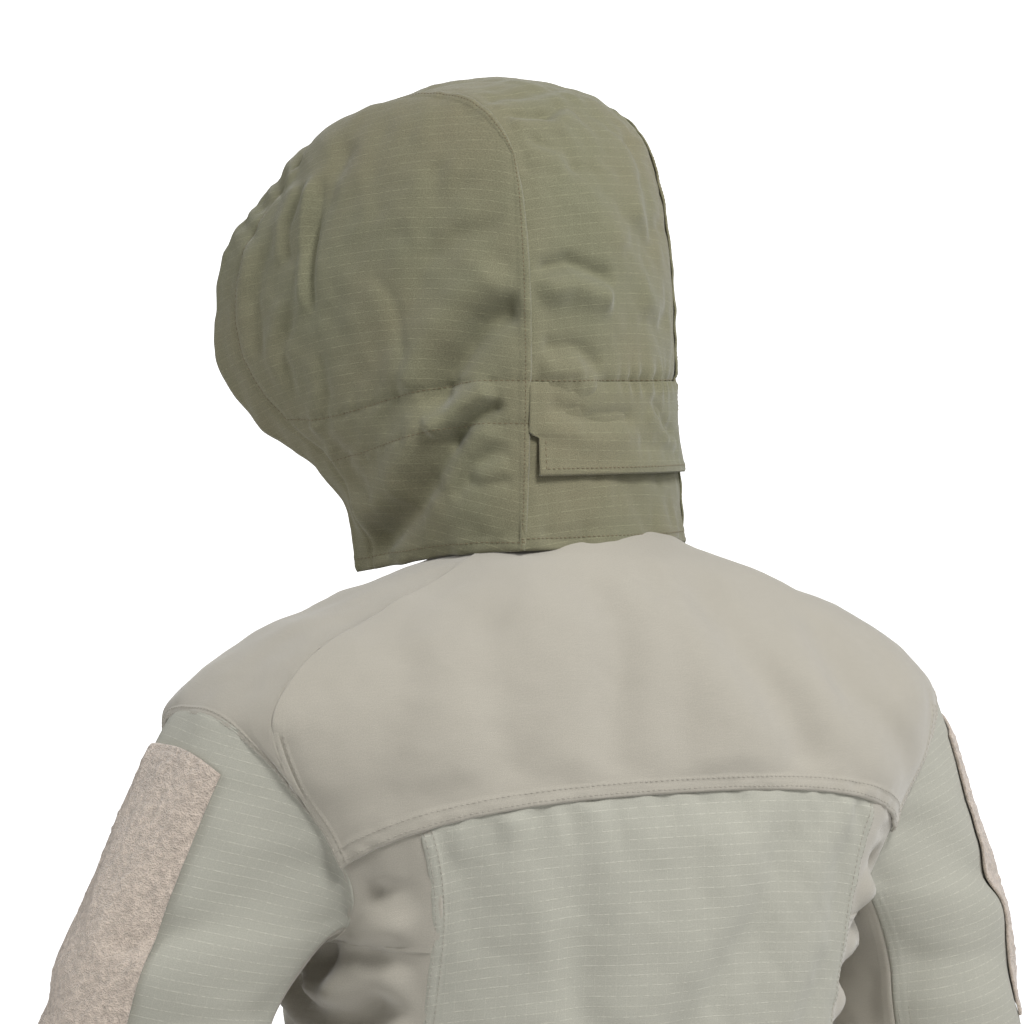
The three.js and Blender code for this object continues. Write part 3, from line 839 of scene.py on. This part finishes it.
def flap_shape(base, u, v, edges):
    x, y = (2 * u - 1) * FLAP_HALF_WIDTH, -v * FLAP_DROP
    local = upright(x, y)
    push = 0.9 + 2.6 * smooth(v, 0.45, 1.0)
    push += 1.1 * noise(local * [1, 1, 0.5], 50, 51) * smooth(v, 0.05, 0.5)
    push += folds(x, y, FLAP_FOLDS) + gathers(x, y - 2) * smooth(edges[1], 4, 14)
    return push - 1.6 * bell(y, 4) + hem(edges[3], 4, 0.6) + 0.3 * noise(local, 12, 52)


def flap_surface(u, v):
    """The flap is sewn into the left seam above its notch and hangs free below it."""
    low, high = seam_at_height(ADJUSTER_Z - 1), seam_at_height(ADJUSTER_Z - FLAP_DROP)
    edge = 1.02 - 0.075 * smooth(v, 0.55, 0.6)
    s = -1.0 + (edge + 1.0) * u
    return hood_place(centre_local(low + (high - low) * v, s, 1.2))


def hood_side(sign, reach=1.0):
    def surface(a, b):
        p = side_local(a * reach, b)
        p[..., 1] *= sign
        return hood_place(p)
    return surface


def centre_surface(low, high, s_low=-1.0, s_high=1.0, out=0.0):
    return lambda u, v: hood_place(
        centre_local(low + (high - low) * v, s_low + (s_high - s_low) * u, out))


def build_hood():
    rows = stitching["hood"]
    for side, sign, seed in (("left", 1, 11), ("right", -1, 21)):
        panel = Panel(hood_side(sign), -sign, 1.3, hood_side_shape(seed))
        panel_object(f"hood_{side}_side", panel, "hood_ripstop", f"hood_{side}_panel", "hood")
        back, top = 1 - panel.across(3.2), panel.down(3.2)
        rows.row(panel, (panel.across(30), back), top, pitch=2.6, long=1.7)
        rows.row(panel, back, (top, 1), pitch=2.6, long=1.7)
        rows.row(panel, WHOLE, 1 - panel.down(HEM_STITCHES))
        casing = panel.across(CASING)
        rows.row(panel, casing, (0.01, channel_share(casing, 0)))
        u = np.linspace(casing, 1, 60)
        for drop in (0, CHANNEL):
            rows.row(panel, u, np.array([channel_share(a, drop) for a in u]))
        facing = Panel(hood_side(sign, casing), -sign, -1.2, facing_shape(casing))
        panel_object(f"hood_casing_{side}", facing, "hood_ripstop", f"face_facing_{side}", "hood", 0.7)

    centre = Panel(centre_surface(0, 1, -1.05, 1.05), 1, 0.2, centre_shape)
    panel_object("hood_centre", centre, "hood_ripstop", "hood_centre_panel", "hood")
    rows.row(centre, WHOLE, 1 - centre.down(HEM_STITCHES))
    rows.row(centre, (0.02, 0.98), centre.down(CASING))
    rows.row(centre, WHOLE, seam_at_height(ADJUSTER_Z))
    brow = Panel(centre_surface(0.004, 0.09, -0.97, 0.97), 1, -1.0)
    panel_object("hood_casing_brow", brow, "hood_ripstop", "face_facing_brow", "hood", 0.7)

    flap = Panel(flap_surface, 1, 0.0, flap_shape)
    panel_object("rear_flap_cloth", flap, "hood_ripstop", "hood_rear_flap", "rear_flap")
    edge = stitching["rear_flap"]
    edge.row(flap, (0.02, 1 - flap.across(4)), 1 - flap.down(4))
    edge.row(flap, 1 - flap.across(4), (0.62, 0.95))

    high, low = seam_at_height(ADJUSTER_Z - 2), seam_at_height(ADJUSTER_Z - 22)
    band = Panel(centre_surface(high, low, -0.9, 0.9), 1, -1.6, elastic_shape)
    panel_object("adjuster_elastic", band, "elastic_webbing", "hood_elastic_band", "hood", 1.2)


def channel_share(a, drop):
    """How far down a side panel the adjuster channel's stitches lie at share a."""
    b = np.linspace(0, 1, 200)
    p = side_local(np.full(200, a), b)
    gap = p[:, 2] - (channel_z(p[:, 0]) - drop)
    return float(np.interp(0, -gap, b))


def elastic_shape(base, u, v, edges):
    return 0.35 * np.sin(u * 2 * math.pi * 42) + 0.15 * np.sin(v * 2 * math.pi * 6)


# ---- the jacket's body ----
def value(limit, x):
    return limit(x) if callable(limit) else limit + 0 * x


def flip(limit):
    """The same limit on the other side of the back's middle."""
    return (lambda depth: -limit(depth)) if callable(limit) else -limit


def torso_panel(angle_low, angle_high, depth_low, depth_high):
    """The surface between two angles and two depths, each a number or a function."""
    def surface(u, v):
        middle = np.full(np.shape(u), float(YOKE_DEPTH + YOKE_DIP))
        near = value(angle_low, middle) * (1 - u) + value(angle_high, middle) * u
        depth = value(depth_low, near) * (1 - v) + value(depth_high, near) * v
        angle = value(angle_low, depth) * (1 - u) + value(angle_high, depth) * u
        return torso(angle, depth)
    return surface


def side_strip(sign, low, high, top, bottom):
    """A panel on the left side of the torso, or its mirror image."""
    if sign > 0:
        return torso_panel(low, high, top, bottom)
    mirror = (lambda angle: bottom(-angle)) if callable(bottom) else bottom
    return torso_panel(flip(high), flip(low), top, mirror)


def nearest(edges):
    return np.minimum.reduce(list(edges))


def drape(points, seed, broad=3.0, middle=1.2, small=0.35):
    """Soft upright folds, then smaller unevenness."""
    push = broad * noise(points * [1, 1, 0.35], 120, seed)
    push += middle * noise(points * [1, 1, 0.6], 46, seed + 1)
    return push + small * noise(points, 17, seed + 2)


YOKE_FOLDS = (  # lines in x and z
    ([[30, -4], [20, -50], [36, -100], [44, -150]], 5, 17, 0.9),
    ([[-44, -8], [-60, -60], [-96, -110], [-104, -150]], 5.5, 17, 0.9),
    ([[-6, -6], [-16, -36], [-12, -90], [-4, -140]], 2.6, 12, 0.8),
    ([[-118, -40], [-150, -90], [-208, -150]], 4.5, 15, 0.8),
    ([[96, -30], [112, -80], [104, -140]], 4.2, 17, 0.8),
    ([[150, -50], [166, -90], [196, -160]], 4, 14, 0.8),
    ([[60, -20], [140, -44], [210, -66]], 1.6, 10, 0.7),
)


def yoke_folds(base):
    """The broad soft folds over the shoulders, from the hood down to the yoke's seam."""
    return drape(base, 61, 2.6, 1.1, 0.22) + folds(base[..., 0], base[..., 2], YOKE_FOLDS)


def yoke_shape(base, u, v, edges):
    left, right, top, bottom = edges
    low = smooth(-base[..., 2], 92, 112)
    side = np.minimum(left, right) + 40 * (1 - low)
    inner = smooth(nearest((side, top - 8, bottom)), 0, 26)
    push = yoke_folds(base) * inner
    push += hem(bottom, 9, 0.9) + pucker(base, bottom, 12, 13, 0.7, 62)
    return push + hem(np.minimum(left, right), 9, 0.8) * low


def shoulder_shape(base, u, v, edges):
    bottom = edges[3]
    push = yoke_folds(base) * smooth(np.minimum(edges[2] - 8, bottom), 0, 26)
    return push + hem(bottom, 9, 0.8) + pucker(base, bottom, 12, 13, 0.5, 63)


BACK_FOLDS = (  # lines in x and z
    ([[-90, -165], [-60, -230], [0, -300], [70, -345]], 4.5, 15, 0.7),
    ([[60, -165], [64, -240], [40, -330], [36, -450]], 4.2, 15, 0.7),
    ([[-130, -170], [-132, -250], [-96, -330]], 4, 13, 0.7),
    ([[110, -420], [30, -450], [-90, -430]], 3, 14, 0.7),
    ([[100, -520], [0, -500], [-110, -530]], 3, 14, 0.7),
)


def centre_back_shape(base, u, v, edges):
    side, top = np.minimum(edges[0], edges[1]), edges[2]
    push = drape(base, 71, 3.2, 1.5, 0.35) + folds(base[..., 0], base[..., 2], BACK_FOLDS)
    push *= smooth(np.minimum(side, top - SEAM_LAP), 0, 30)
    # Small gathers where the panel is eased on to the yoke.
    easing = noise(base * [1, 1, 0.25], 19, 73) * bell(top - 16, 16)
    push += 1.9 * easing * smooth(top, SEAM_LAP, SEAM_LAP + 6)
    return push + hem(side, 9, 0.8) + pucker(base, side, 12, 13, 0.6, 74) - 0.4


UNDERARM_FOLDS = (  # lines in y and z
    ([[112, -196], [84, -206], [52, -232], [30, -262]], 7.5, 8, 1),
    ([[104, -236], [72, -238], [40, -250], [10, -246]], 8.5, 8.5, 0.9),
    ([[96, -262], [60, -280], [20, -276], [-30, -250]], 8, 9, 0.9),
    ([[100, -306], [60, -314], [10, -300], [-40, -284]], 5.5, 9, 0.8),
    ([[96, -356], [50, -366], [0, -352], [-40, -340]], 3.6, 10, 0.8),
    ([[90, -430], [40, -444], [-30, -430]], 3, 11, 0.8),
    ([[90, -520], [40, -508], [-30, -520]], 3, 11, 0.8),
)


def underarm_folds(base):
    return drape(base, 87, 2.4, 1.8, 0.5) + folds(base[..., 1], base[..., 2], UNDERARM_FOLDS)


def side_shape(base, u, v, edges):
    side = np.minimum(edges[0], edges[1])
    return underarm_folds(base) * smooth(side, 2, 22) + hem(side, 4, 0.3)


def plain_shape(seed, broad=2.4):
    def shape(base, u, v, edges):
        left, right, top, bottom = edges
        near = nearest(edges)
        push = drape(base, seed, broad, 1.2, 0.3) * smooth(near, 0, 20)
        push += hem(np.minimum(left, right), 6, 0.6) + hem(bottom, 6, 0.6)
        return push + pucker(base, near, 9, 12, 0.4, seed + 3)
    return shape


def double_row(rows, panel, far, line, across, first=6.0, gap=6.5):
    """Two rows of stitches beside an edge. far is 0 or 1, which edge of the panel."""
    for d in (first - gap / 2, first + gap / 2):
        share = panel.across(d) if across else panel.down(d)
        place = 1 - share if far else share
        rows.row(panel, *((place, line) if across else (line, place)), pitch=3.6)


ZIP_EDGE = 180 - ZIP_HALF_ANGLE
SIDE_PIECES = (  # cloth, CAD node, slot, lift, its limits on the left side, and its shape
    ("shoulder", "shoulder_panel", "jacket_twill", 1.7,
     (ARMHOLE_BACK - 1.5, ARMHOLE_FRONT + 2.5, NECK_TOP, armhole_above), shoulder_shape),
    ("back_armhole", "back_armhole_panel", "jacket_twill", 1.2,
     (princess_under, armhole_behind, under_yoke, ARMHOLE_BOTTOM + SEAM_LAP / 2), side_shape),
    ("side", "side_panel", "jacket_twill", 1.2,
     (princess_under, SIDE_SEAM, ARMHOLE_BOTTOM, UNDER_HEM), side_shape),
    ("front", "front_panel", "jacket_ripstop", 1.2,
     (SIDE_SEAM, ZIP_EDGE, ARMHOLE_BOTTOM, UNDER_HEM), plain_shape(90)),
    ("front_yoke", "front_yoke", "jacket_twill", 1.2,
     (armhole_before, ZIP_EDGE, NECK_TOP, ARMHOLE_BOTTOM), plain_shape(93)),
    ("hem", "hem_band", "jacket_ripstop", 2.4,
     (0, ZIP_EDGE, HEM_TOP, TORSO_LENGTH), plain_shape(96, 1.6)),
)


def build_torso():
    rows = stitching["jacket"]
    yoke = Panel(torso_panel(-ARMHOLE_BACK, ARMHOLE_BACK, NECK_TOP, yoke_seam), 1, 2.0, yoke_shape, 3)
    panel_object("yoke_cloth", yoke, "jacket_twill", "back_yoke", "jacket")
    double_row(rows, yoke, 1, WHOLE, False)
    back = Panel(torso_panel(flip(princess), princess, under_yoke, UNDER_HEM), 1, 1.2,
                 centre_back_shape, 3)
    panel_object("centre_back_cloth", back, "jacket_ripstop", "centre_back_panel", "jacket")
    for panel, line in ((yoke, (0.6, 1)), (back, WHOLE)):
        for far in (0, 1):
            double_row(rows, panel, far, line, True)
    for side, sign in SIDES:
        for name, node, slot, lift, limits, shape in SIDE_PIECES:
            panel = Panel(side_strip(sign, *limits), 1, lift, shape, 3.6)
            panel_object(f"{name}_cloth_{side}", panel, slot, f"{node}_{side}", "jacket")
            if name == "shoulder":
                double_row(rows, panel, 1, WHOLE, False)
            if name in ("front", "front_yoke", "hem"):
                rows.row(panel, WHOLE, 1 - panel.down(6))
            if name in ("front", "front_yoke"):
                near_zip = 1 - panel.across(6) if sign > 0 else panel.across(6)
                rows.row(panel, near_zip, WHOLE)


def collar_surface(u, v):
    half = 180 - 2 * ZIP_HALF_ANGLE
    turn = np.radians(-half + 2 * half * u)
    x, y = COLLAR_HALF_WIDTH * np.sin(turn), COLLAR_HALF_DEPTH * np.cos(turn) - 6
    low = NECKLINE + 4 + FRONT_NECK_DROP * smooth(-np.cos(turn), NECK_DROP_START, NECK_DROP_END)
    return np.stack([x, y, COLLAR_HEIGHT - (COLLAR_HEIGHT + low) * v], axis=-1)


def build_collar():
    panel = Panel(collar_surface, 1, 1.2, plain_shape(99, 1.2))
    panel_object("collar_cloth", panel, "jacket_twill", "stand_collar", "jacket", 2.0)
    stitching["jacket"].row(panel, WHOLE, panel.down(5))


# ---- the sleeves ----
def sleeve_surface(sign, low, high, start, end):
    def surface(u, v):
        p = sleeve(low + (high - low) * u, start + (end - start) * v)
        p[..., 0] *= sign
        return p
    return surface


SLEEVE_FOLDS = (  # lines in y and z
    ([[95, -170], [70, -214], [30, -236]], 4.5, 10, 0.8),
    ([[75, -262], [40, -300], [0, -322]], 2.6, 12, 0.7),
    ([[-70, -240], [-30, -262], [10, -268]], 2.6, 10, 0.8),
    ([[70, -350], [40, -376], [0, -388]], 3, 12, 0.7),
    ([[-74, -380], [-40, -410], [0, -424], [30, -420]], 4.2, 9, 0.9),
    ([[64, -420], [30, -438], [-6, -452]], 3.4, 9, 0.8),
    ([[-80, -440], [-50, -462], [-10, -474]], 3.6, 9, 0.8),
    ([[50, -500], [10, -516], [-30, -508]], 2.4, 11, 0.8),
    ([[-90, -540], [-60, -566], [-20, -590]], 2.4, 12, 0.8),
)


def sleeve_folds(base):
    push = drape(base * [0, 1, 1], 111, 2.4, 1.4, 0.35)
    return push + folds(base[..., 1], base[..., 2], SLEEVE_FOLDS)


def sleeve_shape(base, u, v, edges):
    near, far, top, bottom = edges
    push = sleeve_folds(base) * smooth(nearest(edges), 0, 18)
    push += hem(top, 8, 0.3) + hem(np.minimum(near, far), 6, 0.5)
    return push + pucker(base, top, 12, 13, 0.5, 116)


CUFF_TOP = SLEEVE_LENGTH - CUFF_LENGTH


def build_sleeves():
    under = (180 - GUSSET_HALF_ANGLE, 180 + GUSSET_HALF_ANGLE)
    for side, sign in SIDES:
        body, rows = f"sleeve_{side}", stitching[f"sleeve_{side}"]
        outer = Panel(sleeve_surface(sign, under[1] - 360, under[0], 0, CUFF_TOP), -sign, 1.4,
                      sleeve_shape, 3.2)
        main = panel_object(f"sleeve_cloth_{side}", outer, "jacket_ripstop", f"sleeve_{side}")
        gusset = Panel(sleeve_surface(sign, *under, 0, CUFF_TOP), -sign, 1.0, sleeve_shape, 3.2)
        low = panel_object(f"gusset_cloth_{side}", gusset, "jacket_twill", f"underarm_gusset_{side}")
        for piece in (main, low):
            bend_with_sleeve(piece)
        cuff = Panel(sleeve_surface(sign, -179, 179, CUFF_TOP, SLEEVE_LENGTH), -sign, 1.8,
                     plain_shape(131, 1.0))
        panel_object(f"cuff_cloth_{side}", cuff, "jacket_ripstop", f"cuff_{side}", body, 1.8)
        for edge in (4, cuff.height - 4):
            rows.row(cuff, WHOLE, cuff.down(edge))
        for far in (1, 0):
            double_row(rows, outer, far, (0.25, 1), True)
        build_tab(side, sign)
        build_patch(side, sign)


def build_tab(side, sign):
    top = CUFF_TOP + (CUFF_LENGTH - TAB_WIDTH) / 2
    surface = sleeve_surface(sign, -TAB_HALF_ANGLE, TAB_HALF_ANGLE, top, top + TAB_WIDTH)
    panel = Panel(surface, -sign, 4.6, plain_shape(141, 0.5))
    node = f"cuff_tab_{side}"
    panel_object(f"tab_cloth_{side}", panel, "jacket_ripstop", node, node, 1.6)


def patch_surface(sign):
    """The patch lies on the sleeve and keeps its width where the sleeve widens to the armhole."""
    def surface(u, v):
        along = PATCH_START + 30 + (PATCH_LENGTH - 30) * v
        wide = sleeve(PATCH_TURN + 15 + 0 * u, along) - sleeve(PATCH_TURN - 15 + 0 * u, along)
        half = 15 * PATCH_WIDTH / 2 / np.maximum(np.linalg.norm(wide, axis=-1), 1) * 2 * 0.97
        p = sleeve(PATCH_TURN + half * (2 * u - 1), along)
        p[..., 0] *= sign
        return p
    return surface


def patch_shape(base, u, v, edges):
    near = nearest(edges)
    pile = 0.9 * smooth(near, 0, 4) + 0.45 * noise(base, 5, 151) * smooth(near, 3, 6)
    return sleeve_folds(base) * 0.8 + pile - 0.6 * bell(near - 4, 1.2)


def build_patch(side, sign):
    panel = Panel(patch_surface(sign), -sign, PATCH_LIFT, patch_shape, 1.8)
    pile = panel_object(f"patch_pile_{side}", panel, "loop_pile", f"loop_patch_{side}", thick=1.8)
    bend_with_sleeve(pile)
    rows = stitching[f"sleeve_{side}"]
    line, edge_u, edge_v = (0.03, 0.97), panel.across(4), panel.down(4)
    for u, v in ((edge_u, line), (1 - edge_u, line), (line, edge_v), (line, 1 - edge_v)):
        rows.row(panel, u, v)


# ---- the zip, and the metal and buttons that keep their CAD shape ----
ZIP_TOP, ZIP_BOTTOM, TOOTH_PITCH = 8, 636, 2.6
ZIP_BACKING = 9  # half width of the tape behind the teeth
TOOTH = (3.6, 1.5, 1.3)  # across, along and the half it stands out by
TOOTH_SHIFT = 1.1  # of the two rows, to either side


def build_zip():
    """Interlocked teeth in two rows on a narrow dark tape."""
    depths = np.arange(ZIP_TOP, ZIP_BOTTOM, TOOTH_PITCH / 2)
    middle = torso(np.full(len(depths), 180.0), depths)
    points, faces = [], []
    corners = [(a, b, c) for a in (-0.5, 0.5) for b in (-0.5, 0.5) for c in (-1, 1)]
    sides = ((0, 1, 3, 2), (4, 6, 7, 5), (0, 4, 5, 1), (2, 3, 7, 6), (0, 2, 6, 4), (1, 5, 7, 3))
    for k, place in enumerate(middle):
        shift = TOOTH_SHIFT if k % 2 else -TOOTH_SHIFT
        first = len(points)
        for across, along, out in corners:
            taper = 1 - 0.2 * (out > 0)
            points.append(place + np.array([
                shift + across * TOOTH[0] * taper, -1.2 - out * TOOTH[2], along * TOOTH[1] * taper]))
        faces += [tuple(first + i for i in side[::-1]) for side in sides]
    first = len(points)
    for place in middle:
        points += [place + [-ZIP_BACKING, 0.3, 0], place + [ZIP_BACKING, 0.3, 0]]
    for k in range(len(middle) - 1):
        a = first + 2 * k
        faces.append((a, a + 2, a + 3, a + 1))
    obj = mesh_object("zip_teeth", np.array(points), faces)
    obj.data.polygons.foreach_set("use_smooth", [False] * len(obj.data.polygons))
    dress(obj, "zip_metal")
    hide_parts("zip_chain")
    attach(obj, "jacket")


def dress_hardware():
    """The pieces that keep their CAD shape; the zip's tapes are as dark as the buttons."""
    looks = {"zip_slider": "zip_metal", "zip_pull": "zip_metal"}
    dark = ["zip_tape_left", "zip_tape_right", *(f"collar_button_{i}" for i in range(1, 6))]
    looks.update((name, "button_plastic") for name in dark)
    for name, look in looks.items():
        materials = bpy.data.objects[name].data.materials
        materials.clear()
        materials.append(MATERIALS[look])


# ---- floor, light and camera ----
VIEW_AZIMUTH, VIEW_ELEVATION, VIEW_DISTANCE = 150, 2.0, 2.6
VIEW_TARGET = (0.0217, -0.0125, 0.0175)
VIEW_WIDTH = 0.64  # of the picture at the target
WALL_DISTANCE, WALL_SIZE, WALL_GLOW = 3.4, 1.75, 1.0
FLOOR_SIZE, FLOOR_DROP = 3.5, 0.004
STAGE_GREY = (0.85, 0.85, 0.85)
SQUARE = np.array([(-1, -1, 0), (1, -1, 0), (1, 1, 0), (-1, 1, 0)]) / 2
WORLD_LIGHT = 0.24
LAMPS = (  # name, azimuth, elevation, distance, size and power
    ("key", VIEW_AZIMUTH + 32, 44, 2.3, 0.8, 44), ("fill", VIEW_AZIMUTH - 70, 16, 2.6, 1.4, 20),
    ("side", VIEW_AZIMUTH + 85, 20, 2.6, 1.4, 16), ("rim", -40, 30, 2.6, 1.4, 14),
)


def plain_material(name, color, glow=0.0):
    n = Nodes(name)
    n.set(Base_Color=(*color, 1), Roughness=0.9, Emission_Color=(1, 1, 1, 1), Emission_Strength=glow)
    return n.material


def build_stage():
    """A pale floor under the garment and a bright wall far behind it."""
    floor = SQUARE * FLOOR_SIZE + [0, 0, CAD_BOX[0][2] - FLOOR_DROP]
    far = np.array(VIEW_TARGET) - toward(VIEW_AZIMUTH, 0) * WALL_DISTANCE
    across = toward(VIEW_AZIMUTH + 90, 0) * WALL_SIZE / 2
    up = np.array([0, 0, WALL_SIZE / 2])
    wall = [far - across - up, far + across - up, far + across + up, far - across + up]
    for name, corners, glow in (("studio_floor", floor, 0.0), ("studio_wall", wall, WALL_GLOW)):
        stage = mesh_object(name, np.array(corners) / MM, [(0, 1, 2, 3)])
        stage.data.materials.append(plain_material(name, STAGE_GREY, glow))


def toward(azimuth, elevation):
    a, e = math.radians(azimuth), math.radians(elevation)
    return np.array([math.sin(a) * math.cos(e), -math.cos(a) * math.cos(e), math.sin(e)])


def aim(obj, target):
    from mathutils import Vector
    way = Vector(target) - obj.location
    obj.rotation_euler = way.to_track_quat("-Z", "Y").to_euler()


def build_camera():
    data = bpy.data.cameras.new("camera")
    data.sensor_width = 36
    data.lens = 36 * VIEW_DISTANCE / VIEW_WIDTH
    camera = new_object("camera", data)
    camera.location = np.array(VIEW_TARGET) + toward(VIEW_AZIMUTH, VIEW_ELEVATION) * VIEW_DISTANCE
    aim(camera, VIEW_TARGET)
    bpy.context.scene.camera = camera


def build_lights():
    world = bpy.data.worlds.new("studio")
    world.use_nodes = True
    background = world.node_tree.nodes["Background"].inputs
    background[0].default_value = (1, 1, 1, 1)
    background[1].default_value = WORLD_LIGHT
    bpy.context.scene.world = world
    for name, azimuth, elevation, distance, size, power in LAMPS:
        data = bpy.data.lights.new(name, "AREA")
        data.shape = "DISK"
        data.size = size
        data.energy = power
        lamp = new_object(name, data)
        lamp.location = np.array(VIEW_TARGET) + toward(azimuth, elevation) * distance
        aim(lamp, VIEW_TARGET)


bpy.context.scene.view_settings.view_transform = "Standard"
build_camera()
build_lights()
build_stage()
build_hood()
build_torso()
build_collar()
build_sleeves()
build_zip()
dress_hardware()
for body, rows in stitching.items():
    if body in ("hood", "rear_flap"):
        rows.finish(f"stitches_{body}", body, "hood_ripstop", "hood_thread")
    else:
        rows.finish(f"stitches_{body}", body, "jacket_twill", "jacket_thread")
